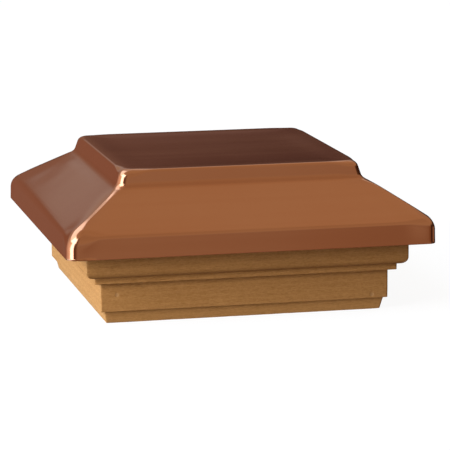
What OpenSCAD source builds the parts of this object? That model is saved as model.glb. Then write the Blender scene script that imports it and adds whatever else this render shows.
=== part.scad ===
// Copper-topped wooden cap for a square fence post.
//
// A pressed copper hat sits on a wooden deck. Four mitred mouldings hang under the deck and form
// the socket that drops over the post. The origin is at the centre of the underside, +Z is up and
// the front is -Y. All sizes are in millimetres.

/* [Socket] */
// Width of the square opening that drops over the post
socket_w = 92.1; // [90.5:0.1:93.5]
// Thickness of the panel that seats on the post top
seat_panel_t = 6; // [4:0.5:8]

/* [Mouldings] */
// Height of the moulding stock
moulding_h = 32; // [30:0.5:34]
// Thickness of the moulding stock
moulding_t = 19; // [18:0.5:20]
// Height of the sloped strip along the foot
foot_h = 5; // [4:0.25:5.5]
// How far the lower edge of the foot strip is set back from the outer face
foot_inset = 9.25; // [8.9:0.05:10]
// How far the foot strip leans outward from its lower edge to its upper edge
foot_lean = 1.2; // [0.2:0.1:1.4]
// Height of the flat frieze above the foot strip
frieze_h = 11.75; // [10:0.25:13]
// How far the frieze is set back from the outer face
frieze_inset = 6.65; // [6:0.05:7]
// Height of the narrow fillet above the frieze
fillet_h = 2.65; // [2:0.05:3.5]
// How far the fillet is set back from the outer face
fillet_inset = 3.75; // [3.5:0.05:5]
// Radius of the quarter round above the fillet
ovolo_r = 3; // [2:0.25:3.25]

/* [Deck] */
// Thickness of the deck board that carries the copper
deck_t = 12; // [11:0.5:13]
// Width of the crown block under the flat of the copper
crown_block_w = 92; // [86:1:92]

/* [Copper top] */
// Width of the copper over the lower edge of its skirt
copper_w = 148; // [146:0.5:152]
// Thickness of the copper sheet
copper_t = 0.6; // [0.5:0.1:0.8]
// Height of the whole cap
overall_h = 59.2; // [58:0.1:61]
// How far the skirt hangs below the deck as a drip edge
drip_h = 3; // [2:0.5:5]
// Height of the skirt
skirt_h = 8.9; // [8:0.1:11]
// How far the skirt leans inward over its height
skirt_lean = 0.75; // [0.5:0.05:1.5]
// Width of the flat top
plateau_w = 95.6; // [95:0.1:98]
// Height of the riser round the flat top
riser_h = 6.5; // [5:0.25:7]
// How far the riser leans inward over its height
riser_lean = 2; // [1:0.25:2.5]

/* [Fasteners] */
// Length of the pins across each mitre
pin_length = 25; // [18:1:30]
// Diameter of the pins
pin_d = 1.2; // [1:0.1:1.6]
// Diameter of the wood screws
screw_d = 3.5; // [3:0.1:4]
// Length of the screws from the deck into the mouldings
deck_screw_length = 30; // [26:1:36]
// Length of the screws from the deck into the crown block
crown_screw_length = 20; // [16:1:24]

/* [Hidden] */
$fn = 48;

// Turn about Z that takes the front side to each of the four sides
FRONT = 0;
RIGHT = 90;
BACK = 180;
LEFT = 270;

// Colours
copper_colour = [0.66, 0.42, 0.29];
cedar_colour = [0.72, 0.53, 0.33];
plywood_colour = [0.80, 0.68, 0.50];
steel_colour = [0.62, 0.63, 0.65];
filler_colour = [0.80, 0.64, 0.46];
adhesive_colour = [0.85, 0.84, 0.80];

// Clearance that keeps two loose pieces apart
fit_gap = 0.3;

// Distances outward from the centre line, all at the front side
inner_r = socket_w / 2;
outer_r = inner_r + moulding_t;
foot_r = outer_r - foot_inset;
frieze_r = outer_r - frieze_inset;
fillet_r = outer_r - fillet_inset;

// Levels in the wood
frieze_z = foot_h;
fillet_z = frieze_z + frieze_h;
ovolo_z = fillet_z + fillet_h;
seat_z = moulding_h - seat_panel_t;
deck_z = moulding_h;
deck_top_z = deck_z + deck_t;

// Corners of the copper's outer section, as [distance from the centre line, height]
skirt_foot = [copper_w / 2, moulding_h - drip_h];
skirt_top = [skirt_foot.x - skirt_lean, skirt_foot.y + skirt_h];
plateau_edge = [plateau_w / 2, overall_h];
riser_foot = [plateau_edge.x + riser_lean, plateau_edge.y - riser_h];
plateau_centre = [0, overall_h];
copper_corners = [skirt_foot, skirt_top, riser_foot, plateau_edge, plateau_centre];

// Bend radii of the outer section at the skirt's top, the riser's foot and the crown edge
shoulder_bend = 2.6;
riser_foot_bend = 4;
crown_bend = 1.3;
bend_steps = 5;

// The bent part of the sheet reaches in to bent_to_r, and the flat reaches out past that
bent_to_r = plateau_edge.x - 5;
flat_r = plateau_edge.x - 3;
flat_corner_r = 3;

// Radius of the vertical corners, looked up by height: tight along the hips, wider elsewhere
corner_steps = 6;
corner_radii = [
    [skirt_foot.y, 4.6],
    [skirt_top.y, 4.4],
    [skirt_top.y + 5, 2.4],
    [riser_foot.y - 4, 2.4],
    [riser_foot.y, 4],
    [plateau_edge.y, 3.6]
];

// Bed of adhesive between the deck's bevel and the copper's slope: its lower edge and its size
edge_bed_t = 1;
edge_bed_w = 6;
edge_bed_length = 96;
edge_bed_z = skirt_top.y + 0.5;

// The deck's edge, and a line up its bevel, which lies one bed of adhesive below the copper
deck_edge_r = skirt_top.x - copper_t - fit_gap;
deck_corner_r = 5;
bevel_run = riser_foot - skirt_top;
bevel_point = skirt_top + (copper_t + edge_bed_t) * inward(skirt_top, riser_foot);

// Pads of adhesive between the crown block and the flat of the copper
crown_bed_t = 0.8;
crown_bed_r = 9;
crown_bed_pitch = 26;

// Pins: distance from the corner of the frieze, heights at the two ends, and depth of the filler
pin_from_corner = 6.5;
pin_high = 6.7;
pin_low = 1.5;
filler_depth = 1.5;
filler_r = 0.8;

// Screws: places, heads, square drive and point
screw_pitch = 30;
screw_r = screw_d / 2;
screw_head_r = screw_d * 0.97;
screw_head_h = screw_head_r - screw_r + 0.6;
screw_point_h = screw_d;
drive_w = 2.2;
drive_depth = 1.5;
deck_screw_r = inner_r + 9.5;

// Staples: places and wire
staple_pitch = 30;
staple_r = inner_r - 8;
staple_crown_w = 6.4;
staple_wire_w = 1.2;
staple_wire_t = 0.7;
staple_length = 15;

// Unit vector along v
function unit(v) = v / norm(v);

// Normal of the line from a to b, towards the inside of the hat
function inward(a, b) = [-unit(b - a).y, unit(b - a).x];

// Point where the lines through a, b and c, each moved inward by t, meet
function offset_corner(a, b, c, t) =
    let (n = inward(a, b), m = inward(b, c))
    b + t * (n + m) / (1 + n * m);

// Arc of radius r that rounds the corner at b between a and c
function rounded_corner(a, b, c, r, steps) =
    let (
        u = unit(a - b),
        v = unit(c - b),
        half_angle = acos(u * v) / 2,
        centre = b + unit(u + v) * r / sin(half_angle),
        start = b + u * r / tan(half_angle) - centre,
        end = b + v * r / tan(half_angle) - centre,
        sweep = acos(unit(start) * unit(end))
    )
    [for (i = [0 : steps])
        let (t = i / steps)
        centre + (start * sin((1 - t) * sweep) + end * sin(t * sweep)) / sin(sweep)];

// Section of one face of the bent sheet, moved inward by t, from the skirt's lower edge to the flat.
// A bend's radius shrinks by t where the sheet turns inward and grows by t where it turns out.
function sheet_section(t) =
    let (
        c = copper_corners,
        foot = [c[0].x + t / inward(c[0], c[1]).x, c[0].y],
        shoulder = offset_corner(c[0], c[1], c[2], t),
        riser = offset_corner(c[1], c[2], c[3], t),
        crown = offset_corner(c[2], c[3], c[4], t),
        centre = c[4] - [0, t]
    )
    concat(
        [foot],
        rounded_corner(foot, shoulder, riser, shoulder_bend - t, bend_steps),
        rounded_corner(shoulder, riser, crown, riser_foot_bend + t, bend_steps),
        rounded_corner(riser, crown, centre, crown_bend - t, bend_steps),
        [[bent_to_r, centre.y]]
    );

// Level ring at one point of the section: a square with rounded corners
function ring(point, t) =
    let (r = lookup(point.y, corner_radii) - t, c = point.x - r)
    [for (quarter = [0 : 3], step = [0 : corner_steps])
        let (corner = quarter * 90 + 45, a = quarter * 90 + step * 90 / corner_steps)
        [c * sign(cos(corner)) + r * cos(a), c * sign(sin(corner)) + r * sin(a), point.y]];

// Solid with rounded vertical corners
module rounded_block(width, corner_r, height) {
    inset = width / 2 - corner_r;
    linear_extrude(height)
        union() {
            square([width, 2 * inset], center = true);
            square([2 * inset, width], center = true);
            for (x = [-inset, inset], y = [-inset, inset])
                translate([x, y])
                    circle(corner_r);
        }
}

// Straight bar along X over a section drawn as [distance from the centre line, height]
module bar_along_x(length) {
    translate([-length / 2, 0, 0])
        rotate([90, 0, 90])
            mirror([1, 0, 0])
                linear_extrude(length)
                    children();
}

// Everything of the front side between the two mitres
module mitre_wedge() {
    reach = 2 * outer_r;
    translate([0, 0, -1])
        linear_extrude(overall_h)
            polygon([[0, 0], [-reach, -reach], [reach, -reach]]);
}

// Countersunk wood screw with its head flush at the origin, driven along -Z
module wood_screw(length) {
    difference() {
        union() {
            translate([0, 0, -screw_head_h])
                cylinder(h = screw_head_h, r1 = screw_r, r2 = screw_head_r);
            translate([0, 0, screw_point_h - length])
                cylinder(h = length - screw_point_h - screw_head_h, r = screw_r);
            translate([0, 0, -length])
                cylinder(h = screw_point_h, r1 = screw_r / 8, r2 = screw_r);
        }
        translate([-drive_w / 2, -drive_w / 2, -drive_depth])
            cube([drive_w, drive_w, drive_depth + 1]);
    }
}

// Hole that a wood screw fills
module screw_hole(length) {
    translate([0, 0, -screw_head_h])
        cylinder(h = screw_head_h, r1 = screw_r, r2 = screw_head_r);
    translate([0, 0, screw_point_h - length])
        cylinder(h = length - screw_point_h, r = screw_r);
    translate([0, 0, -length])
        cylinder(h = screw_point_h, r1 = screw_r / 8, r2 = screw_r);
}

// Places of the two deck screws on the front side
module at_deck_screws() {
    for (x = [-screw_pitch, screw_pitch])
        translate([x, -deck_screw_r, deck_top_z])
            children();
}

// Places of the four crown screws, which point up from the underside of the deck
module at_crown_screws() {
    for (x = [-screw_pitch, screw_pitch], y = [-screw_pitch, screw_pitch])
        translate([x, y, deck_z])
            rotate([180, 0, 0])
                children();
}

// Cylinders along +Y from the front frieze, one near each end: the left one high, the right one
// low, so that it passes the pin of the neighbouring side
module at_pins(depth) {
    for (end = [-1, 1])
        translate([
            end * (frieze_r - pin_from_corner),
            depth - frieze_r,
            frieze_z + (end < 0 ? pin_high : pin_low)
        ])
            rotate([-90, 0, 0])
                children();
}

module front_pins() {
    at_pins(filler_depth)
        cylinder(h = pin_length, d = pin_d);
}

module front_fillers() {
    at_pins(0)
        cylinder(h = filler_depth, r = filler_r);
}

// Two staples of the front side, with their crowns sunk flush in the seat panel
module front_staples() {
    for (x = [-staple_pitch / 2, staple_pitch / 2])
        translate([x, -staple_r, seat_z]) {
            translate([-staple_crown_w / 2, -staple_wire_w / 2, 0])
                cube([staple_crown_w, staple_wire_w, staple_wire_t]);
            for (end = [-1, 1])
                translate([end * (staple_crown_w - staple_wire_t) / 2 - staple_wire_t / 2,
                           -staple_wire_w / 2, 0])
                    cube([staple_wire_t, staple_wire_w, staple_length]);
        }
}

// The same thing on all four sides
module on_four_sides() {
    for (turn = [FRONT, RIGHT, BACK, LEFT])
        rotate([0, 0, turn])
            children();
}

// The sheet where it is bent: rings up its outside and back down its inside, joined into a loop
module bent_sheet() {
    outer = [for (point = sheet_section(0)) ring(point, 0)];
    inner = [for (point = sheet_section(copper_t)) ring(point, copper_t)];
    rings = concat(outer, [for (i = [len(inner) - 1 : -1 : 0]) inner[i]]);
    around = len(outer[0]);
    walls = [
        for (i = [0 : len(rings) - 1], k = [0 : around - 1])
            let (j = (i + 1) % len(rings), n = (k + 1) % around)
            [i * around + k, j * around + k, j * around + n, i * around + n]
    ];
    polyhedron(points = [for (r = rings, p = r) p], faces = walls);
}

module copper_top() {
    color(copper_colour)
        union() {
            bent_sheet();
            translate([0, 0, overall_h - copper_t])
                rounded_block(2 * flat_r, flat_corner_r, copper_t);
        }
}

module crown_block() {
    top_z = overall_h - copper_t - crown_bed_t;
    color(cedar_colour)
        difference() {
            translate([0, 0, deck_top_z])
                rounded_block(crown_block_w, 3, top_z - deck_top_z);
            at_crown_screws()
                screw_hole(crown_screw_length);
        }
}

// Distance outward of the deck's bevel at height z
function bevel_at(z) = bevel_point.x + (z - bevel_point.y) * bevel_run.x / bevel_run.y;

module deck_board() {
    bevel = [
        [-bevel_at(deck_z), deck_z],
        [bevel_at(deck_z), deck_z],
        [bevel_at(deck_top_z), deck_top_z],
        [-bevel_at(deck_top_z), deck_top_z]
    ];
    color(plywood_colour)
        difference() {
            intersection() {
                translate([0, 0, deck_z])
                    rounded_block(2 * deck_edge_r, deck_corner_r, deck_t);
                bar_along_x(copper_w)
                    polygon(bevel);
                rotate([0, 0, 90])
                    bar_along_x(copper_w)
                        polygon(bevel);
            }
            on_four_sides() {
                at_deck_screws()
                    screw_hole(deck_screw_length);
                front_staples();
            }
            at_crown_screws()
                screw_hole(crown_screw_length);
        }
}

module seat_panel() {
    color(plywood_colour)
        difference() {
            translate([0, 0, seat_z])
                rounded_block(socket_w - 2 * fit_gap, 1, seat_panel_t);
            on_four_sides()
                front_staples();
        }
}

module moulding(turn) {
    color(cedar_colour)
        rotate([0, 0, turn])
            difference() {
                intersection() {
                    bar_along_x(2 * outer_r)
                        union() {
                            polygon([
                                [inner_r, 0],
                                [foot_r, 0],
                                [foot_r + foot_lean, frieze_z],
                                [frieze_r, frieze_z],
                                [frieze_r, fillet_z],
                                [fillet_r, fillet_z],
                                [fillet_r, ovolo_z],
                                [outer_r - ovolo_r, ovolo_z],
                                [outer_r - ovolo_r, ovolo_z + ovolo_r],
                                [outer_r, ovolo_z + ovolo_r],
                                [outer_r, moulding_h],
                                [inner_r, moulding_h]
                            ]);
                            translate([outer_r - ovolo_r, ovolo_z + ovolo_r])
                                circle(ovolo_r);
                        }
                    mitre_wedge();
                }
                at_deck_screws()
                    screw_hole(deck_screw_length);
                for (neighbour = [-90, 0, 90])
                    rotate([0, 0, neighbour])
                        front_pins();
                front_fillers();
            }
}

module corner_pins(turn) {
    color(steel_colour)
        rotate([0, 0, turn])
            front_pins();
}

module pin_filler(turn) {
    color(filler_colour)
        rotate([0, 0, turn])
            front_fillers();
}

module deck_screws(turn) {
    color(steel_colour)
        rotate([0, 0, turn])
            at_deck_screws()
                wood_screw(deck_screw_length);
}

// The bed fills the gap between the deck's bevel and the copper's slope
module edge_adhesive(turn) {
    along = unit(bevel_run);
    outward = -inward(skirt_top, riser_foot);
    low = [bevel_at(edge_bed_z), edge_bed_z];
    high = low + along * edge_bed_w;
    color(adhesive_colour)
        rotate([0, 0, turn])
            bar_along_x(edge_bed_length)
                polygon([low, high, high + outward * edge_bed_t, low + outward * edge_bed_t]);
}

module crown_screws() {
    color(steel_colour)
        at_crown_screws()
            wood_screw(crown_screw_length);
}

module panel_staples() {
    color(steel_colour)
        on_four_sides()
            front_staples();
}

module crown_adhesive() {
    places = [for (x = [-1, 1], y = [-1, 1]) [x, y] * crown_bed_pitch];
    color(adhesive_colour)
        for (p = concat(places, [[0, 0]]))
            translate([p.x, p.y, overall_h - copper_t - crown_bed_t])
                cylinder(h = crown_bed_t, r = crown_bed_r);
}

copper_top();
crown_block();
deck_board();
seat_panel();
moulding(FRONT);  // moulding_front
moulding(RIGHT);  // moulding_right
moulding(BACK);  // moulding_back
moulding(LEFT);  // moulding_left
corner_pins(FRONT);  // corner_pins_front
corner_pins(RIGHT);  // corner_pins_right
corner_pins(BACK);  // corner_pins_back
corner_pins(LEFT);  // corner_pins_left
pin_filler(FRONT);  // pin_filler_front
pin_filler(RIGHT);  // pin_filler_right
pin_filler(BACK);  // pin_filler_back
pin_filler(LEFT);  // pin_filler_left
deck_screws(FRONT);  // deck_screws_front
deck_screws(RIGHT);  // deck_screws_right
deck_screws(BACK);  // deck_screws_back
deck_screws(LEFT);  // deck_screws_left
edge_adhesive(FRONT);  // edge_adhesive_front
edge_adhesive(RIGHT);  // edge_adhesive_right
edge_adhesive(BACK);  // edge_adhesive_back
edge_adhesive(LEFT);  // edge_adhesive_left
crown_screws();
panel_staples();
crown_adhesive();
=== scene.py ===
import math

import bmesh
import bpy
from mathutils import Matrix, Vector, noise


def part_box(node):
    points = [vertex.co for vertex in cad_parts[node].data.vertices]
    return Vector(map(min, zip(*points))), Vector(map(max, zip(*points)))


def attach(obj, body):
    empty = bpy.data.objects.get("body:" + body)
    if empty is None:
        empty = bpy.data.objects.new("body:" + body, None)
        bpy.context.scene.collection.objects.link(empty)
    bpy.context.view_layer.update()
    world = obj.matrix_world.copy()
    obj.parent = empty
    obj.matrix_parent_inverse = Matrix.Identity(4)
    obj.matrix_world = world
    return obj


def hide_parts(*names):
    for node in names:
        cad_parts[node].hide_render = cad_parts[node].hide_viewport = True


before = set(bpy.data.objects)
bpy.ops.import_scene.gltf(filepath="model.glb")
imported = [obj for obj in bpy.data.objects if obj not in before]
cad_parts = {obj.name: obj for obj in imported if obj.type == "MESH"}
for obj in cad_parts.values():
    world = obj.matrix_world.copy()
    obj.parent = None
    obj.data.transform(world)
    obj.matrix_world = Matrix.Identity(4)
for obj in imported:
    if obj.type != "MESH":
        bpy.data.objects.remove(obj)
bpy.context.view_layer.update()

MM = 0.001
SIDES = {"front": 0, "right": 90, "back": 180, "left": 270}


# ---------------------------------------------------------------- sizes, in metres, from the frame

copper_low, copper_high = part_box("copper_top")
stick_low, stick_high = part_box("moulding_front")
filler_low, filler_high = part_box("pin_filler_front")

half_width = copper_high.x
top_z = copper_high.z
outer_r = -stick_low.y
inner_r = -stick_high.y
stick_h = stick_high.z

# Copper sheet: section corners as (distance from the centre line, height), and its bends
SHEET = 0.6 * MM
SKIRT_FOOT = Vector((half_width, copper_low.z))
SHOULDER = Vector((half_width - 0.75 * MM, copper_low.z + 8.9 * MM))
CROWN = Vector((47.8 * MM, top_z))
RISER_FOOT = Vector((CROWN.x + 2 * MM, top_z - 6.5 * MM))
# The skirt stands nearly upright at the corners, where the press drew it tight
CORNER_SHOULDER = Vector((half_width - 0.2 * MM, SHOULDER.y))
# Bend radii at the shoulder, the riser's foot and the crown: along the sides, and at the four corners,
# which go anticlockwise from +X +Y wherever they are listed
SIDE_BENDS = (2.8 * MM, 5.0 * MM, 1.2 * MM)
CORNER_BENDS = [
    (7.0 * MM, 4.0 * MM, 3.0 * MM),
    (7.0 * MM, 4.0 * MM, 3.0 * MM),
    (9.5 * MM, 4.4 * MM, 4.0 * MM),
    (6.0 * MM, 3.2 * MM, 3.0 * MM),
]

# Radius of the copper's vertical corners by height: tight along the hips, wider elsewhere
CORNER_RADII = [
    (SKIRT_FOOT.y, 4.6 * MM),
    (SHOULDER.y + 1 * MM, 4.4 * MM),
    (SHOULDER.y + 6 * MM, 1.3 * MM),
    (RISER_FOOT.y - 3 * MM, 1.4 * MM),
    (RISER_FOOT.y, 4 * MM),
    (CROWN.y, 3.6 * MM),
]
# Each corner's share of that
CORNER_TIGHT = (0.7, 0.7, 1.0, 0.75)


# ---------------------------------------------------------------- shared mesh work

def fillet(before, corner, after, radius, steps):
    """Points of the arc that rounds one corner of a section, with the outward side left alone."""
    u = (before - corner).normalized()
    v = (after - corner).normalized()
    half_angle = u.angle(v) / 2
    centre = corner + (u + v).normalized() * radius / math.sin(half_angle)
    start = corner + u * radius / math.tan(half_angle) - centre
    end = corner + v * radius / math.tan(half_angle) - centre
    sweep = start.angle(end)
    points = []
    for i in range(steps + 1):
        t = i / steps
        arm = (start * math.sin((1 - t) * sweep) + end * math.sin(t * sweep)) / math.sin(sweep)
        points.append(centre + arm)
    return points


def smooth_noise(point, size, seed):
    """Noise of about -1 to 1 whose bumps are about size across."""
    return noise.noise(point / size + Vector((seed, 2.7 * seed, -1.3 * seed)))


def add_piece(name, mesh_data, node, material, crisp=False):
    """Puts a finished mesh in the scene in place of one CAD node. A crisp one keeps its flats flat."""
    piece = bpy.data.objects.new(name, mesh_data)
    bpy.context.collection.objects.link(piece)
    mesh_data.materials.append(material)
    mesh_data.shade_smooth()
    if crisp:
        weighted = piece.modifiers.new("face weighted normals", "WEIGHTED_NORMAL")
        weighted.weight = 90
    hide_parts(node)
    return piece


def smoothstep(low, high, x):
    """0 at low to 1 at high with level ends, held beyond them. low may be the larger."""
    t = min(max((x - low) / (high - low), 0), 1)
    return t * t * (3 - 2 * t)


# ---------------------------------------------------------------- shader graph helper

class Graph:
    """Adds nodes to one node tree. A value given for an input is a constant or another node's output."""

    def __init__(self, tree):
        self.tree = tree
        tree.nodes.clear()

    def add(self, kind, inputs=(), output=0, **settings):
        node = self.tree.nodes.new(kind)
        for key, value in settings.items():
            setattr(node, key, value)
        for key, value in dict(inputs).items():
            if isinstance(value, bpy.types.NodeSocket):
                self.tree.links.new(value, node.inputs[key])
            else:
                node.inputs[key].default_value = value
        return node.outputs[output] if output is not None else node

    def math(self, operation, a, b=0.0):
        return self.add("ShaderNodeMath", {0: a, 1: b}, operation=operation)

    def vector(self, operation, a, b=(0, 0, 0), output=0):
        return self.add("ShaderNodeVectorMath", {0: a, 1: b}, output=output, operation=operation)

    def span(self, value, low, high, to_low=0.0, to_high=1.0, smooth=False):
        """Maps value from low..high to to_low..to_high and holds it beyond."""
        return self.add(
            "ShaderNodeMapRange",
            {"Value": value, "From Min": low, "From Max": high, "To Min": to_low, "To Max": to_high},
            interpolation_type="SMOOTHSTEP" if smooth else "LINEAR",
        )

    def mix(self, factor, a, b):
        """Colour a going to colour b as factor goes from 0 to 1."""
        return self.add("ShaderNodeMix", {"Factor": factor, 6: a, 7: b}, output=2, data_type="RGBA")

    def ramp(self, factor, stops):
        """Colour ramp through (position, colour) stops."""
        node = self.add("ShaderNodeValToRGB", {"Fac": factor}, output=None)
        elements = node.color_ramp.elements
        while len(elements) > 1:
            elements.remove(elements[-1])
        elements[0].position, elements[0].color = stops[0][0], rgba(stops[0][1])
        for position, colour in stops[1:]:
            elements.new(position).color = rgba(colour)
        return node.outputs["Color"]

    def place(self, scale, offset=(0, 0, 0)):
        """Object coordinates times scale, which is given in features to the metre."""
        here = self.add("ShaderNodeTexCoord", output="Object")
        return self.add("ShaderNodeMapping", {"Vector": here, "Scale": scale, "Location": offset})

    def noise(self, where, detail=2.0, roughness=0.5):
        return self.add(
            "ShaderNodeTexNoise",
            {"Vector": where, "Scale": 1.0, "Detail": detail, "Roughness": roughness},
        )

    def bump(self, height, distance, strength=1.0):
        """Normals for a height field whose unit stands distance tall."""
        return self.add("ShaderNodeBump", {"Height": height, "Distance": distance, "Strength": strength})


def rgba(colour):
    """An opaque colour from its red, green and blue."""
    return (*colour, 1.0)


def new_material(name, build):
    """Material whose Principled shader takes the inputs that build(graph) returns."""
    material = bpy.data.materials.new(name)
    material.use_nodes = True
    graph = Graph(material.node_tree)
    shader = graph.add("ShaderNodeBsdfPrincipled", build(graph))
    graph.add("ShaderNodeOutputMaterial", {"Surface": shader}, output=None)
    return material


# ---------------------------------------------------------------- copper

def copper_look(g):
    """Satin copper sheet, brushed along X: darker and rougher along the riser's foot crease, lighter on the
    bends and rim as worn edges and painted highlight, and darker in streaks on the flat top as a painted
    reflection.
    """
    brush = g.noise(g.place((14, 1500, 1500)), detail=3, roughness=0.6)
    long_streak = g.noise(g.place((5, 260, 260), (3, 1, 7)), detail=2)
    cloud = g.noise(g.place((22, 22, 22), (5, 9, 2)), detail=3)
    band = g.noise(g.place((5, 75, 75), (2, 4, 6)), detail=2)
    flat = g.add("ShaderNodeAttribute", output="Fac", attribute_name="flat")
    riser_crease = g.add("ShaderNodeAttribute", output="Fac", attribute_name="crease")
    wear = g.add("ShaderNodeAttribute", output="Fac", attribute_name="edge")
    colour = g.mix(g.span(cloud, 0.35, 0.65), rgba((0.80, 0.345, 0.172)), rgba((0.815, 0.365, 0.187)))
    colour = g.mix(g.span(long_streak, 0.4, 0.62, 0, 0.10), colour, rgba((0.70, 0.26, 0.11)))
    # Painted reflection: darker copper in streaks along X over the flat top, standing in for the dark room it
    # reflects
    top_painted_reflection = g.math("MULTIPLY", flat, g.span(band, 0.4, 0.6, 0.3, 1.0))
    colour = g.mix(top_painted_reflection, colour, rgba((0.63, 0.19, 0.07)))
    # Darker copper along the riser's foot crease
    colour = g.mix(g.span(riser_crease, 0, 1, 0, 0.22), colour, rgba((0.62, 0.20, 0.075)))
    # Lighter copper on the convex bends and the rim: partly worn edges, partly painted highlight
    colour = g.mix(g.span(wear, 0, 1, 0, 0.35), colour, rgba((0.88, 0.42, 0.22)))
    roughness = g.math("ADD", g.span(brush, 0.3, 0.7, 0.10, 0.14), g.span(cloud, 0.3, 0.7, 0, 0.03))
    roughness = g.math("ADD", roughness, g.span(riser_crease, 0, 1, 0, 0.08))
    height = g.math("ADD", brush, g.math("MULTIPLY", long_streak, 2.0))
    return {
        "Base Color": colour,
        "Metallic": 1.0,
        "Roughness": roughness,
        "Coat Weight": 0.3,
        "Coat Roughness": 0.1,
        "Normal": g.bump(height, 0.003 * MM),
    }


def corner_radius(z):
    """Radius of the hat's vertical corners at a height, before each corner's own share."""
    for (z0, r0), (z1, r1) in zip(CORNER_RADII, CORNER_RADII[1:]):
        if z <= z1:
            return r0 + (r1 - r0) * smoothstep(z0, z1, z)
    return CORNER_RADII[-1][1]


def inward(a, b):
    """Normal of the section line from a to b, towards the inside of the hat."""
    along = (b - a).normalized()
    return Vector((-along.y, along.x))


def offset_corner(a, b, c, t):
    """Where the lines a to b and b to c meet once both have moved t inward."""
    n, m = inward(a, b), inward(b, c)
    return b + t * (n + m) / (1 + n.dot(m))


def between(a, b, steps):
    """Points between a and b, without either end."""
    return [a.lerp(b, i / steps) for i in range(1, steps)]


# Steps of each bend, and where points lie along the skirt, slope and riser as shares of their length:
# fine on the outer face, with the slope's points close enough for its waves, and coarse on the hidden one
FINE_BEND_STEPS = 14
COARSE_BEND_STEPS = 4
FINE_SLOPE = (0.015,) + tuple(i / 14 for i in range(1, 14)) + (0.985,)
FINE_FLATS = [(0.04, 0.3, 0.6, 0.93), FINE_SLOPE, (0.1, 0.5, 0.9)]
COARSE_FLATS = [(0.5,)] * 3


def sheet_section(t, turn, radii, fine):
    """One face of the bent sheet, t below its outer face, as (point, crease, edge) from the skirt up."""
    centre = Vector((0, top_z))
    foot = Vector((SKIRT_FOOT.x - t, SKIRT_FOOT.y))
    shoulder = offset_corner(SKIRT_FOOT, turn, RISER_FOOT, t)
    riser = offset_corner(turn, RISER_FOOT, CROWN, t)
    crown = offset_corner(RISER_FOOT, CROWN, centre, t)
    middle = Vector((0, top_z - t))
    bend_steps = FINE_BEND_STEPS if fine else COARSE_BEND_STEPS
    bends = [
        (fillet(foot, shoulder, riser, radii[0] - t, bend_steps), 0, 0.5),
        (fillet(shoulder, riser, crown, radii[1] + t, bend_steps), 1, 0),
        (fillet(riser, crown, middle, radii[2] - t, bend_steps), 0, 1),
    ]
    rows = []
    last = foot
    for (bend, crease, edge), flat in zip(bends, FINE_FLATS if fine else COARSE_FLATS):
        rows += [(last.lerp(bend[0], share), 0, 0) for share in flat]
        for i, p in enumerate(bend):
            middle_share = math.sin(math.pi * i / bend_steps)
            rows.append((p, crease * middle_share, edge * middle_share))
        last = bend[-1]
    return rows


# Steps round each corner of a ring and along each side, how far along the side a corner's own section eases
# into the side's, and the smallest radius that a corner may have
ARC_STEPS = 18
SIDE_STEPS = 40
CORNER_REACH = 9 * MM
SMALLEST_CORNER = 0.2 * MM


def rounded_ring(side, corners, t):
    """One ring as (point, outward direction). Near a corner, the side's section eases into the corner's."""
    radii = [
        max(corner_radius(p.y) * tight - t, SMALLEST_CORNER)
        for p, tight in zip(corners, CORNER_TIGHT)
    ]
    ring = []
    for quarter in range(4):
        start = math.radians(90 * quarter)
        turn = Matrix.Rotation(start, 2)
        following = (quarter + 1) % 4
        corner, r = corners[quarter], radii[quarter]
        c = corner.x - r
        for i in range(ARC_STEPS + 1):
            a = start + math.radians(90) * i / ARC_STEPS
            out = Vector((math.cos(a), math.sin(a)))
            ring.append((turn @ Vector((c, c)) + r * out, out, corner.y))
        out = turn @ Vector((0, 1))
        far = corners[following].x - radii[following]
        for i in range(1, SIDE_STEPS):
            x = (c - far) / 2 + (c + far) / 2 * math.cos(math.pi * i / SIDE_STEPS)
            here = corner.lerp(side, smoothstep(0, CORNER_REACH, c - x))
            here = corners[following].lerp(here, smoothstep(0, CORNER_REACH, x + far))
            ring.append((turn @ Vector((x, here.x)), out, here.y))
    return [(Vector((p.x, p.y, z)), Vector((o.x, o.y, 0))) for p, o, z in ring]


# How deep each slope curls down beside the hips: corner signs (x, y) to depth, and reach along the slope.
# A negative depth is a hip that stands proud.
HIP_CURL = {(-1, -1): 0.02 * MM, (-1, 1): 1.35 * MM, (1, 1): 0.35 * MM, (1, -1): -0.3 * MM}
HIP_CURL_REACH = 24 * MM
# How far the slopes are full towards the back left hip, and the y - x at which they are wholly so
BACK_LEFT_RISE = 1.1 * MM
BACK_LEFT_REACH = 100 * MM
# How far the near hip dips, how wide to each side of it, and how far in from the shoulder that takes
NEAR_HIP_DIP = 0.55 * MM
NEAR_HIP_REACH = 12 * MM
NEAR_HIP_START = 14 * MM
# How deep the slopes curl down at the shoulder, and how far up the slope that reaches
SHOULDER_CURL = 0.10 * MM
SHOULDER_CURL_REACH = 7 * MM
# The slopes' waves come in over this much beyond the riser's foot, and fade out from the first of these
# before the shoulder to the second beyond it
SLOPE_START = 5 * MM
SLOPE_END = (2 * MM, 0.5 * MM)
# Ripples of the slopes, all over and at the back left: depth in millimetres, and size
RIPPLE = 0.02
RIPPLE_SIZE = 26 * MM
BACK_LEFT_RIPPLE = 0.20
BACK_LEFT_RIPPLE_SIZE = 12 * MM
# Where the back left ripples start and are full, in x and in y
BACK_LEFT_X = (-45 * MM, -55 * MM)
BACK_LEFT_Y = (-5 * MM, 50 * MM)
# Ripples keep clear of the hips and the shoulder: none at the first distance, full at the second
HIP_CLEAR = (1 * MM, 8 * MM)
SHOULDER_CLEAR = (2 * MM, 8 * MM)
# How deep the flat sags in the middle. It also dips evenly, and in streaks, by these many millimetres
TOP_SAG = 0.38 * MM
TOP_DIP = 0.06
TOP_STREAK = 0.05
TOP_STREAK_SIZE = 13 * MM
# The flat's waves come in between these two distances from its edge
TOP_START = (2.5 * MM, 12 * MM)
# How far the hat is fuller at the right, from the riser up, and the x where that starts and is full
RIGHT_FULLNESS = 0.8 * MM
RIGHT_START = (10 * MM, 42 * MM)


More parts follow.
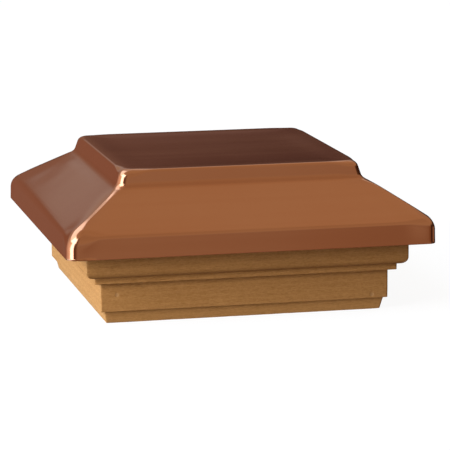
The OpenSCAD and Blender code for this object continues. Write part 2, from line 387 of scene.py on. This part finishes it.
def sheet_wave(p):
    """How far the sheet dips inward at p: curled edges, faint oil-canning and a sagging flat."""
    flat = Vector((p.x, p.y, 0))
    inside = max(abs(p.x), abs(p.y))
    to_hip = abs(abs(p.x) - abs(p.y))
    on_slope = smoothstep(RISER_FOOT.x, RISER_FOOT.x + SLOPE_START, inside)
    below_shoulder = smoothstep(SHOULDER.x - SLOPE_END[0], SHOULDER.x + SLOPE_END[1], inside)
    curl = HIP_CURL[(1 if p.x > 0 else -1, 1 if p.y > 0 else -1)]
    hip = curl * max(1 - to_hip / HIP_CURL_REACH, 0) ** 2
    hip -= BACK_LEFT_RISE * smoothstep(0, BACK_LEFT_REACH, p.y - p.x)
    if p.x < 0 and p.y < 0:
        along = smoothstep(SHOULDER.x, SHOULDER.x - NEAR_HIP_START, inside)
        hip += NEAR_HIP_DIP * along * max(1 - to_hip / NEAR_HIP_REACH, 0) ** 2
    shoulder = SHOULDER_CURL * max(1 - (SHOULDER.x - inside) / SHOULDER_CURL_REACH, 0) ** 2
    back_left = smoothstep(*BACK_LEFT_Y, p.y) * smoothstep(*BACK_LEFT_X, p.x)
    near_shoulder = smoothstep(SHOULDER.x - SHOULDER_CLEAR[1], SHOULDER.x - SHOULDER_CLEAR[0], inside)
    fade = smoothstep(*HIP_CLEAR, to_hip) * (1 - near_shoulder)
    ripple = RIPPLE * smooth_noise(flat, RIPPLE_SIZE, 3)
    ripple = ripple + BACK_LEFT_RIPPLE * back_left * smooth_noise(flat, BACK_LEFT_RIPPLE_SIZE, 8)
    slope = on_slope * (1 - below_shoulder) * (hip + min(shoulder, SHOULDER_CURL) + fade * ripple * MM)
    on_top = 1 - smoothstep(CROWN.x - TOP_START[1], CROWN.x - TOP_START[0], inside)
    sag = TOP_SAG * (1 - (p.y / CROWN.x) ** 2) * (1 - (p.x / CROWN.x) ** 4)
    streak = TOP_STREAK * smooth_noise(Vector((p.x * 0.25, p.y, 0)), TOP_STREAK_SIZE, 5)
    return slope + on_top * (sag + (TOP_DIP + streak) * MM)


def fuller_right(p):
    """p moved out towards the right, the more the higher it lies on the slope."""
    share = smoothstep(*RIGHT_START, p.x) * smoothstep(SHOULDER.y - 1 * MM, RISER_FOOT.y, p.z)
    return p + Vector((RIGHT_FULLNESS * share, 0, 0))


# The rim is rolled to a half round this tall, in this many steps
RIM_LIP = 0.22 * MM
RIM_STEPS = 6
# Rings that fill the flat, as shares of its edge: outside, closest near the edge, and on the hidden face
TOP_RINGS = (0.985, 0.96, 0.92, 0.87, 0.8, 0.72, 0.63, 0.54, 0.45, 0.36, 0.27, 0.18, 0.09)
HIDDEN_RINGS = (0.6, 0.3)
# Painted reflection: the flat's darker copper, standing in for the dark reflection it shows, starts and is
# full at these distances from its edge
TOP_PAINTED_REFLECTION_START = (1 * MM, 5 * MM)


def build_copper(material):
    """One pressed sheet, closed: rings from the flat's hidden face down, round the rim and up the outside."""
    outer, inner = [
        list(zip(
            sheet_section(t, SHOULDER, SIDE_BENDS, fine),
            *(sheet_section(t, CORNER_SHOULDER, bends, fine) for bends in CORNER_BENDS),
        ))
        for t, fine in ((0, True), (SHEET, False))
    ]
    rim = []
    for i in range(RIM_STEPS + 1):
        a = math.pi * i / RIM_STEPS
        out = SKIRT_FOOT.x - SHEET / 2 - math.cos(a) * SHEET / 2
        row = (Vector((out, SKIRT_FOOT.y + RIM_LIP * (1 - math.sin(a)))), 0, 0.4)
        rim.append([row] * 5)
    section = [(rows, SHEET) for rows in reversed(inner)] + [(rows, 0) for rows in rim + outer]

    mesh = bmesh.new()
    crease_layer = mesh.verts.layers.float.new("crease")
    edge_layer = mesh.verts.layers.float.new("edge")
    flat_layer = mesh.verts.layers.float.new("flat")
    rings = []
    for k, ((side, *corners), t) in enumerate(section):
        before = section[max(k - 1, 0)][0][0][0]
        after = section[min(k + 1, len(section) - 1)][0][0][0]
        normal = inward(before, after) if t else -inward(before, after)
        ring = []
        for p, out in rounded_ring(side[0], [row[0] for row in corners], t):
            facing = Vector((out.x * normal.x, out.y * normal.x, normal.y))
            vert = mesh.verts.new(fuller_right(p - facing * sheet_wave(p)))
            vert[crease_layer] = side[1]
            vert[edge_layer] = side[2]
            ring.append(vert)
        rings.append(ring)
    for below, above in zip(rings, rings[1:]):
        join_rings(mesh, below, above, 1)
    close_flat(mesh, rings[-1], TOP_RINGS, 1)
    close_flat(mesh, rings[0], HIDDEN_RINGS, -1)
    # How far each point lies on the flat top, which takes the painted reflection
    for vert in mesh.verts:
        inside = max(abs(vert.co.x), abs(vert.co.y))
        vert[flat_layer] = 1 - smoothstep(CROWN.x - TOP_PAINTED_REFLECTION_START[1], CROWN.x - TOP_PAINTED_REFLECTION_START[0], inside)
    data = bpy.data.meshes.new("copper_hat")
    mesh.to_mesh(data)
    mesh.free()
    add_piece("copper_hat", data, "copper_top", material)


def close_flat(mesh, ring, shares, side):
    """Fills a level ring with smaller rings and a fan, dipped by the sheet's wave."""
    level = [v.co.copy() for v in ring]
    last = ring
    for share in shares:
        inner = []
        for p in level:
            q = Vector((p.x * share, p.y * share, p.z))
            q.z -= sheet_wave(q)
            inner.append(mesh.verts.new(q))
        join_rings(mesh, last, inner, side)
        last = inner
    centre = Vector((0, 0, level[0].z))
    centre.z -= sheet_wave(centre)
    tip = mesh.verts.new(centre)
    for i in range(len(last)):
        j = (i + 1) % len(last)
        corners = (last[i], last[j], tip)
        mesh.faces.new(corners if side > 0 else tuple(reversed(corners)))


def join_rings(mesh, below, above, side):
    """Quads between two rings of as many points. A negative side turns them over."""
    for i in range(len(below)):
        j = (i + 1) % len(below)
        corners = (below[i], below[j], above[j], above[i])
        mesh.faces.new(corners if side > 0 else tuple(reversed(corners)))


# ---------------------------------------------------------------- wood

CEDAR_PALE = (0.47, 0.262, 0.098)
CEDAR_DEEP = (0.29, 0.142, 0.042)
# Each side's stick has its own tone, as shares of those colours. The left one is paler and the front one
# darker partly as painted light and shade, for how brightly each side is lit, and partly as tone that differs
# from stick to stick
TONES_AND_PAINTED_LIGHT = {
    "front": (1.03, 0.95, 0.83),
    "right": (1.08, 1.02, 0.92),
    "back": (1.12, 1.10, 1.02),
    "left": (1.20, 1.18, 1.16),
}
# Growth lines: how far apart, how far they wander, and their slant against the face
RING_PITCH = 2.3 * MM
RING_WANDER = 2.5 * MM
RING_SLANT = 0.35
# The foot strip is this high, and is made this much paler as painted light, for the brighter light it gets
FOOT_TOP = 5 * MM
FOOT_PAINTED_LIGHT = 0.22


def wood_look(seed, tone_and_light):
    """Fine straight grain along X: short fibres, growth lines, pores and slow patches of colour."""

    def tinted(colour, share=1.0):
        return tuple(c * k * share for c, k in zip(colour, tone_and_light))

    def look(g):
        shift = (3.1 * seed, 1.7 * seed, 5.3 * seed)
        here = g.add("ShaderNodeTexCoord", output="Object")
        wander = g.noise(g.place((7, 60, 60), shift), detail=2)
        split = g.add("ShaderNodeSeparateXYZ", {"Vector": here}, output=None)
        across = g.math("ADD", split.outputs["Z"], g.math("MULTIPLY", split.outputs["Y"], RING_SLANT))
        across = g.math("ADD", across, g.span(wander, 0, 1, -RING_WANDER, RING_WANDER))
        rings = g.math("SINE", g.math("MULTIPLY", across, 2 * math.pi / RING_PITCH))
        fibre = g.noise(g.place((330, 2600, 2600), shift), detail=4, roughness=0.65)
        streak = g.noise(g.place((60, 900, 900), shift), detail=2)
        fleck = g.noise(g.place((900, 1700, 1700), shift), detail=3, roughness=0.7)
        pores = g.noise(g.place((600, 4200, 4200), shift), detail=1)
        patch = g.noise(g.place((22, 60, 60), shift), detail=2)
        pore = g.span(pores, 0.62, 0.72)
        shade = g.math("ADD", g.span(rings, -1, 1, 0, 0.07), g.span(fibre, 0.3, 0.7, 0, 0.38))
        shade = g.math("ADD", shade, g.span(fleck, 0.3, 0.7, 0, 0.34))
        shade = g.math("ADD", shade, g.span(streak, 0.3, 0.7, 0, 0.11))
        shade = g.math("ADD", shade, g.span(patch, 0.3, 0.7, 0, 0.10))
        # Painted light: the foot strip is made paler, standing in for the brighter light it gets
        foot = g.span(split.outputs["Z"], FOOT_TOP - 0.2 * MM, FOOT_TOP, FOOT_PAINTED_LIGHT, 0)
        shade = g.math("ADD", shade, foot)
        middle = tuple((a + b) / 2 for a, b in zip(CEDAR_PALE, CEDAR_DEEP))
        stops = [(0.12, tinted(CEDAR_DEEP)), (0.5, tinted(middle)), (0.9, tinted(CEDAR_PALE))]
        colour = g.ramp(shade, stops)
        colour = g.mix(g.math("MULTIPLY", pore, 0.35), colour, rgba(tinted(CEDAR_DEEP, 0.6)))
        height = g.math("SUBTRACT", g.math("ADD", fibre, g.math("MULTIPLY", rings, 0.08)), pore)
        return {
            "Base Color": colour,
            "Roughness": g.span(shade, 0.2, 0.8, 0.68, 0.54),
            "Specular IOR Level": 0.35,
            "Normal": g.bump(height, 0.04 * MM, 0.6),
        }

    return look


# Wood profile: corners as (distance from the centre line, height, easing) in millimetres
PROFILE = [
    (inner_r / MM, 0, 0.3),
    (55.8, 0, 0.25),
    (57.0, FOOT_TOP / MM, 0.12),
    (58.4, FOOT_TOP / MM, 0.22),
    (58.4, 16.75, 0.12),
    (61.3, 16.75, 0.22),
    (61.3, 19.4, 0.12),
    (outer_r / MM, 19.4, 3),
    (outer_r / MM, stick_h / MM, 0.3),
    (inner_r / MM, stick_h / MM, 0.3),
]
# Faces longer than this get points along them
LONG_FACE = 4 * MM
MITRE_GAP = 0.05 * MM
MITRE_EASE = 0.25 * MM
# Steps along a stick, out to this share of its length
STICK_STEPS = 96
STICK_REACH = 0.994
# How far the faces dip, always and unevenly, and how far the exposed arrises are worn besides, likewise,
# in millimetres, with the size of the uneven patches
FACE_DIP = (0.02, 0.02)
FACE_PATCH = 9 * MM
ARRIS_WEAR = (0.03, 0.09)
ARRIS_PATCH = 3 * MM


def profile_points():
    """The eased profile as (point, outward normal, wear), with wear at 1 on the exposed arrises."""
    corners = [Vector((d, z)) * MM for d, z, _ in PROFILE]
    points = []
    for i, corner in enumerate(corners):
        before = corners[i - 1]
        after = corners[(i + 1) % len(corners)]
        turn = (corner - before).cross(after - corner)
        exposed = 1.0 if turn > 0 and PROFILE[i][2] < 1 else 0.0
        steps = 10 if PROFILE[i][2] > 1 else 4
        arc = fillet(before, corner, after, PROFILE[i][2] * MM, steps)
        points += [(p, exposed) for p in arc]
        span = (after - corner).length
        if span > LONG_FACE:
            next_ease = PROFILE[(i + 1) % len(PROFILE)][2] * MM
            far = after + (corner - after).normalized() * next_ease
            points += [(p, 0.0) for p in between(arc[-1], far, 4)]
    result = []
    for i, (p, wear) in enumerate(points):
        along = (points[(i + 1) % len(points)][0] - points[i - 1][0]).normalized()
        result.append((p, Vector((along.y, -along.x)), wear))
    return result


def build_moulding(side, turn, material, seed):
    """One mitred stick, made as the front one and turned into place."""
    profile = profile_points()
    middle = [(STICK_REACH * (-1 + 2 * i / STICK_STEPS), 0.0) for i in range(STICK_STEPS + 1)]
    columns = [(-1.0, MITRE_EASE), (-1.0, 0.0)] + middle + [(1.0, 0.0), (1.0, MITRE_EASE)]
    mesh = bmesh.new()
    rows = []
    for share, shrink in columns:
        ring = []
        for p, normal, wear in profile:
            reach = p.x - MITRE_GAP - (0 if shrink else MITRE_EASE)
            x = share * reach
            at = Vector((x, p.x, p.y))
            dip = FACE_DIP[0] + FACE_DIP[1] * smooth_noise(at, FACE_PATCH, seed)
            uneven = max(smooth_noise(at, ARRIS_PATCH, seed + 4), 0) ** 2
            dip += wear * (ARRIS_WEAR[0] + ARRIS_WEAR[1] * uneven)
            q = p - normal * (shrink + dip * MM)
            ring.append(mesh.verts.new((x, -q.x, q.y)))
        rows.append(ring)
    for left, right in zip(rows, rows[1:]):
        for i in range(len(left)):
            j = (i + 1) % len(left)
            mesh.faces.new((left[i], right[i], right[j], left[j]))
    mesh.faces.new(rows[0])
    mesh.faces.new(list(reversed(rows[-1])))
    bmesh.ops.recalc_face_normals(mesh, faces=mesh.faces)
    data = bpy.data.meshes.new(side + "_moulding")
    mesh.to_mesh(data)
    mesh.free()
    cut_pin_holes(data)
    piece = add_piece(side + "_moulding", data, "moulding_" + side, material, crisp=True)
    piece.rotation_euler.z = math.radians(turn)
    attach(piece, "root")


FRIEZE_R = -filler_low.y
FILLER_R = 0.8 * MM
FILLER_DEPTH = filler_high.y - filler_low.y
FILLER_SIDES = 28
# Rings of a plug's face and its rim, as shares of the hole's radius
FILLER_RIM = 0.985
FILLER_RINGS = (0.25, 0.55, 0.8, 0.93, FILLER_RIM)
# How far a plug lies below the face, how much more in its middle, and its lumps, in millimetres
FILLER_SUNK = 0.03
FILLER_DISH = 0.10
FILLER_LUMP = 0.03
FILLER_LUMP_SIZE = 0.5 * MM


def pin_places():
    """Centre of each pin hole on the face of the front frieze."""
    left_x, right_x = filler_low.x + FILLER_R, filler_high.x - FILLER_R
    return [Vector((left_x, -FRIEZE_R, filler_high.z - FILLER_R)),
            Vector((right_x, -FRIEZE_R, filler_low.z + FILLER_R))]


def filler_arms(share):
    """Arms from a hole's centre to points round it, at a share of its radius."""
    angles = [2 * math.pi * k / FILLER_SIDES for k in range(FILLER_SIDES)]
    return [Vector((math.cos(a), 0, math.sin(a))) * FILLER_R * share for a in angles]


def cut_pin_holes(data):
    """Takes the two pin holes out of a moulding's mesh."""
    target = bpy.data.objects.new("cut", data)
    cutters = bmesh.new()
    for place in pin_places():
        made = bmesh.ops.create_cone(
            cutters, cap_ends=True, segments=FILLER_SIDES, radius1=FILLER_R, radius2=FILLER_R,
            depth=2 * FILLER_DEPTH,
        )
        bmesh.ops.rotate(cutters, verts=made["verts"], matrix=Matrix.Rotation(math.radians(90), 3, "X"))
        bmesh.ops.translate(cutters, verts=made["verts"], vec=place)
    cutter_data = bpy.data.meshes.new("cutters")
    cutters.to_mesh(cutter_data)
    cutters.free()
    cutter = bpy.data.objects.new("cutters", cutter_data)
    for o in (target, cutter):
        bpy.context.collection.objects.link(o)
    holes = target.modifiers.new("pin holes", "BOOLEAN")
    holes.object = cutter
    holes.operation = "DIFFERENCE"
    holes.solver = "EXACT"
    bpy.context.view_layer.update()
    done = bpy.data.meshes.new_from_object(target.evaluated_get(bpy.context.evaluated_depsgraph_get()))
    mesh = bmesh.new()
    mesh.from_mesh(done)
    mesh.to_mesh(data)
    mesh.free()
    for o in (target, cutter):
        bpy.data.objects.remove(o)
    bpy.data.meshes.remove(cutter_data)
    bpy.data.meshes.remove(done)


def build_fillers(side, turn, material, seed):
    """Two plugs of filler, slightly dished and uneven, wiped off flush with the frieze."""
    mesh = bmesh.new()
    back = Vector((0, FILLER_DEPTH * 0.98, 0))
    for number, place in enumerate(pin_places()):
        rings = []
        for share in FILLER_RINGS:
            ring = []
            for out in filler_arms(share):
                lump = smooth_noise(place + out, FILLER_LUMP_SIZE, seed + number)
                dish = FILLER_DISH * (1 - share ** 2) + FILLER_SUNK + FILLER_LUMP * lump
                ring.append(mesh.verts.new(place + out + Vector((0, dish * MM, 0))))
            rings.append(ring)
        rings.append([mesh.verts.new(place + out + back) for out in filler_arms(FILLER_RIM)])
        for inside, outside in zip(rings, rings[1:]):
            join_rings(mesh, inside, outside, 1)
        mesh.faces.new(rings[0])
        mesh.faces.new(rings[-1])
    bmesh.ops.recalc_face_normals(mesh, faces=mesh.faces)
    data = bpy.data.meshes.new(side + "_fillers")
    mesh.to_mesh(data)
    mesh.free()
    piece = add_piece(side + "_fillers", data, "pin_filler_" + side, material, crisp=True)
    piece.rotation_euler.z = math.radians(turn)
    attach(piece, "root")


# ---------------------------------------------------------------- materials of the parts kept from the frame

# Plywood: thickness of a ply, and how far apart the face veneer's figure lies and how far it wanders
PLY = 3.0 * MM
FIGURE_PITCH = 6.5 * MM
FIGURE_WANDER = 14 * MM


def plywood_look(g):
    """Sanded face veneer with its grain along X, and plies that show on the edges."""
    here = g.add("ShaderNodeTexCoord", output="Object")
    facing = g.add("ShaderNodeNewGeometry", output="Normal")
    up = g.math("ABSOLUTE", g.add("ShaderNodeSeparateXYZ", {"Vector": facing}, output="Z"))
    split = g.add("ShaderNodeSeparateXYZ", {"Vector": here}, output=None)
    wander = g.noise(g.place((14, 38, 38), (4, 4, 4)), detail=3)
    across = g.math("ADD", split.outputs["Y"], g.span(wander, 0, 1, -FIGURE_WANDER, FIGURE_WANDER))
    figure = g.math("SINE", g.math("MULTIPLY", across, 2 * math.pi / FIGURE_PITCH))
    fibre = g.noise(g.place((60, 1300, 1300), (2, 8, 1)), detail=4, roughness=0.65)
    shade = g.math("ADD", g.span(figure, -1, 1, 0, 0.35), g.span(fibre, 0.3, 0.7, 0, 0.55))
    face = g.ramp(shade, [(0.1, (0.42, 0.25, 0.115)), (0.9, (0.62, 0.43, 0.235))])
    ply = g.math("SINE", g.math("MULTIPLY", split.outputs["Z"], 2 * math.pi / PLY))
    end_grain = g.noise(g.place((1500, 1500, 200), (7, 3, 9)), detail=2)
    plies = g.ramp(
        g.math("ADD", g.span(ply, -0.3, 0.3, 0, 0.7), g.span(end_grain, 0.3, 0.7, 0, 0.3)),
        [(0.1, (0.27, 0.155, 0.07)), (0.9, (0.58, 0.40, 0.22))],
    )
    colour = g.mix(g.span(up, 0.6, 0.8), plies, face)
    return {
        "Base Color": colour,
        "Roughness": g.span(fibre, 0.3, 0.7, 0.62, 0.74),
        "Specular IOR Level": 0.3,
        "Normal": g.bump(fibre, 0.06 * MM, 0.6),
    }


def steel_look(g):
    """Zinc-plated steel with a faint passivated bloom and drawing marks."""
    bloom = g.noise(g.place((180, 180, 180), (1, 2, 3)), detail=3)
    marks = g.noise(g.place((900, 900, 4000), (6, 2, 5)), detail=2)
    colour = g.ramp(bloom, [(0.35, (0.56, 0.56, 0.54)), (0.65, (0.72, 0.70, 0.64))])
    return {
        "Base Color": colour,
        "Metallic": 1.0,
        "Roughness": g.span(marks, 0.3, 0.7, 0.26, 0.42),
        "Normal": g.bump(marks, 0.01 * MM, 0.5),
    }


def filler_look(g):
    """Wood filler: pale, chalky and speckled."""
    specks = g.noise(g.place((2600, 2600, 2600), (3, 3, 1)), detail=2)
    cloud = g.noise(g.place((700, 700, 700), (8, 1, 4)), detail=2)
    colour = g.mix(g.span(cloud, 0.35, 0.65), rgba((0.41, 0.225, 0.086)), rgba((0.48, 0.268, 0.108)))
    colour = g.mix(g.span(specks, 0.58, 0.7, 0, 0.6), colour, rgba((0.30, 0.15, 0.06)))
    return {
        "Base Color": colour,
        "Roughness": g.span(specks, 0.3, 0.7, 0.75, 0.88),
        "Specular IOR Level": 0.25,
        "Normal": g.bump(specks, 0.04 * MM, 0.7),
    }


def adhesive_look(g):
    """Cured construction adhesive: off-white, rubbery, with trowelled ripples."""
    ripple = g.noise(g.place((260, 260, 260), (5, 5, 2)), detail=3)
    colour = g.ramp(ripple, [(0.3, (0.58, 0.55, 0.47)), (0.7, (0.72, 0.70, 0.62))])
    return {
        "Base Color": colour,
        "Roughness": g.span(ripple, 0.3, 0.7, 0.38, 0.5),
        "Normal": g.bump(ripple, 0.2 * MM, 0.6),
    }


def dress_node(node, material):
    """Gives a CAD node a procedural material in each of its slots."""
    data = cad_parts[node].data
    for i in range(len(data.materials)):
        data.materials[i] = material


def dress_frame():
    """Materials for the CAD nodes that no Blender piece replaces."""
    plywood = new_material("plywood", plywood_look)
    steel = new_material("zinc_steel", steel_look)
    adhesive = new_material("cured_adhesive", adhesive_look)
    block = new_material("block_softwood", wood_look(11, (1.25, 1.3, 1.4)))
    dress_node("deck_board", plywood)
    dress_node("seat_panel", plywood)
    dress_node("crown_block", block)
    dress_node("crown_adhesive", adhesive)
    for node in ("crown_screws", "panel_staples"):
        dress_node(node, steel)
    for side in SIDES:
        dress_node("corner_pins_" + side, steel)
        dress_node("deck_screws_" + side, steel)
        dress_node("edge_adhesive_" + side, adhesive)


# ---------------------------------------------------------------- studio

def direction(azimuth, elevation):
    """Unit vector at a compass azimuth from +Y towards +X, and an elevation, in degrees."""
    a, e = math.radians(azimuth), math.radians(elevation)
    return Vector((math.sin(a) * math.cos(e), math.cos(a) * math.cos(e), math.sin(e)))


def elevation_ramp(g, elevation, stops):
    """Colour ramp over elevations given in degrees."""
    factor = g.span(elevation, -math.pi / 2, math.pi / 2)
    return g.ramp(factor, [((e + 90) / 180, colour) for e, colour in stops])


def panel_mask(g, ray, elevation, azimuths, elevations, soft_azimuth, soft_elevation):
    """1 inside a panel of the given azimuths and elevations, falling to 0 over its soft edges, in degrees."""
    middle = sum(azimuths) / 2
    ahead = g.vector("DOT_PRODUCT", ray, direction(middle, 0), output="Value")
    aside = g.vector("DOT_PRODUCT", ray, direction(middle + 90, 0), output="Value")
    turn = g.math("ABSOLUTE", g.math("ARCTAN2", aside, ahead))
    half = (azimuths[1] - azimuths[0]) / 2
    across = g.span(turn, math.radians(half), math.radians(half + soft_azimuth), 1, 0, smooth=True)
    lift = g.math("ABSOLUTE", g.math("SUBTRACT", elevation, math.radians(sum(elevations) / 2)))
    half = (elevations[1] - elevations[0]) / 2
    along = g.span(lift, math.radians(half), math.radians(half + soft_elevation), 1, 0, smooth=True)
    return g.math("MULTIPLY", across, along)


def add_studio():
    """Soft light from a tall bank at the left and a strip over it, in a dim warm room."""
    world = bpy.data.worlds.new("studio")
    world.use_nodes = True
    g = Graph(world.node_tree)
    ray = g.add("ShaderNodeTexCoord", output="Generated")
    elevation = g.math("ARCSINE", g.add("ShaderNodeSeparateXYZ", {"Vector": ray}, output="Z"))
    room = elevation_ramp(g, elevation, [
        (-90, (0.19, 0.13, 0.09)),
        (-26, (0.17, 0.11, 0.08)),
        (-15, (0.262, 0.122, 0.078)),
        (6, (0.248, 0.122, 0.076)),
        (10.5, (0.245, 0.130, 0.086)),
        (12.5, (0.262, 0.172, 0.14)),
        (16, (0.352, 0.318, 0.308)),
        (28, (0.354, 0.285, 0.21)),
        (62, (0.375, 0.295, 0.215)),
        (70, (0.41, 0.33, 0.24)),
        (84, (0.37, 0.29, 0.20)),
        (90, (0.34, 0.26, 0.185)),
    ])
    # (azimuths, elevations, softness of each, colour), each over the ones before it
    panels = [
        # walls: the front one, a lighter one far behind, and the dark right-hand side with a pale gap in it
        ((172, 215), (-16, 16), 45, 10, (0.315, 0.25, 0.20)),
        ((-6, 30), (34, 50), 10, 6, (0.55, 0.53, 0.52)),
        ((100, 156), (-22, 18), 14, 10, (0.21, 0.13, 0.085)),
        ((16, 130), (-26, 7), 14, 12, (0.075, 0.034, 0.024)),
        ((29, 122), (-30, 20), 12, 14, (0.04, 0.022, 0.016)),
        ((84, 104), (-30, 4), 8, 10, (0.26, 0.19, 0.15)),
        ((2, 60), (-60, 0), 10, 6, (0.03, 0.017, 0.013)),
        ((130, 200), (50, 66), 12, 14, (0.34, 0.265, 0.19)),
        # left-hand lights: a warm spill, the bank's dark frame, the tall bank, and two strips over them
        ((-104, -88), (-24, 42), 66, 12, (0.9, 0.84, 0.83)),
        ((-150, -128), (-26, 60), 26, 12, (0.13, 0.075, 0.045)),
        ((-124, -104), (-22, 42), 11, 8, (3.0, 3.6, 4.5)),
        ((-128, -76), (42, 60), 22, 7, (3.0, 3.7, 4.6)),
        ((-72, -14), (42, 58), 12, 8, (1.45, 1.72, 2.1)),
    ]
    for azimuths, elevations, soft_azimuth, soft_elevation, colour in panels:
        mask = panel_mask(g, ray, elevation, azimuths, elevations, soft_azimuth, soft_elevation)
        room = g.mix(mask, room, rgba(colour))
    seen = g.add("ShaderNodeLightPath", output="Is Camera Ray")
    room = g.mix(seen, room, rgba((1.0, 1.0, 1.0)))
    background = g.add("ShaderNodeBackground", {"Color": room, "Strength": 1.0})
    g.add("ShaderNodeOutputWorld", {"Surface": background}, output=None)
    bpy.context.scene.world = world


def add_lamp(name, azimuth, elevation, distance, size, power, colour):
    """Square soft light aimed at the cap, left out of the copper's reflections."""
    data = bpy.data.lights.new(name, "AREA")
    data.size = size
    data.energy = power
    data.color = colour
    lamp = bpy.data.objects.new(name, data)
    away = direction(azimuth, elevation)
    lamp.location = away * distance + Vector((0, 0, stick_h))
    lamp.rotation_euler = away.to_track_quat("Z", "Y").to_euler()
    lamp.visible_glossy = False
    lamp.visible_camera = False
    bpy.context.collection.objects.link(lamp)


def floor_look():
    """Pale paper sweep: mostly even, so that only a faint contact shadow shows. It is clear from below."""
    material = bpy.data.materials.new("paper_floor")
    material.use_nodes = True
    g = Graph(material.node_tree)
    glow = g.add("ShaderNodeEmission", {"Color": rgba((1, 1, 1)), "Strength": 0.92})
    matt = g.add("ShaderNodeBsdfDiffuse", {"Color": rgba((0.11, 0.11, 0.11))})
    paper = g.add("ShaderNodeAddShader", {0: glow, 1: matt})
    below = g.add("ShaderNodeNewGeometry", output="Backfacing")
    clear = g.add("ShaderNodeBsdfTransparent", {"Color": rgba((1, 1, 1))})
    surface = g.add("ShaderNodeMixShader", {0: below, 1: paper, 2: clear})
    g.add("ShaderNodeOutputMaterial", {"Surface": surface}, output=None)
    return material


def add_floor():
    """The paper sweep, just under the foot of the wood."""
    mesh = bmesh.new()
    bmesh.ops.create_grid(mesh, x_segments=8, y_segments=8, size=6)
    data = bpy.data.meshes.new("floor")
    mesh.to_mesh(data)
    mesh.free()
    data.materials.append(floor_look())
    floor = bpy.data.objects.new("floor", data)
    floor.location.z = -0.02 * MM
    floor.visible_glossy = False
    floor.visible_diffuse = False
    bpy.context.collection.objects.link(floor)


def add_camera():
    """A long lens, low and a little to the left of the front, as such caps are usually shown."""
    yaw = math.radians(-13.2)
    pitch = math.radians(10.61)
    roll = math.radians(-0.21)
    distance = 14.607 * half_width
    target = Vector((0.0705 * half_width, 0, 0.3555 * half_width))
    back = Vector((math.sin(yaw) * math.cos(pitch), -math.cos(yaw) * math.cos(pitch), math.sin(pitch)))
    right = Vector((math.cos(yaw), math.sin(yaw), 0))
    up = back.cross(right)
    right, up = (
        right * math.cos(roll) + up * math.sin(roll),
        up * math.cos(roll) - right * math.sin(roll),
    )
    data = bpy.data.cameras.new("camera")
    data.sensor_width = 36
    data.lens = 207.7
    data.clip_end = 50
    camera = bpy.data.objects.new("camera", data)
    turn = Matrix((right, up, back)).transposed().to_4x4()
    camera.matrix_world = Matrix.Translation(target + back * distance) @ turn
    bpy.context.collection.objects.link(camera)
    bpy.context.scene.camera = camera


# ---------------------------------------------------------------- the object

build_copper(new_material("copper_sheet", copper_look))
filler = new_material("filler", filler_look)
for number, (side, turn) in enumerate(SIDES.items()):
    # Each stick's tone carries painted light and shade for its side
    look = wood_look(number + 1, TONES_AND_PAINTED_LIGHT[side])
    build_moulding(side, turn, new_material("cedar_" + side, look), number + 1)
    build_fillers(side, turn, filler, number + 1)
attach(bpy.data.objects["copper_hat"], "root")
dress_frame()
add_studio()
add_lamp("key", -120, 15, 0.62, 0.3, 3.9, (1.0, 0.985, 0.98))
add_lamp("fill", 170, 4, 1.6, 0.7, 1.2, (1.0, 0.88, 0.68))
add_lamp("far_fill", 50, 35, 1.6, 0.9, 4.0, (1.0, 0.92, 0.82))
add_floor()
add_camera()
bpy.context.scene.view_settings.view_transform = "Standard"
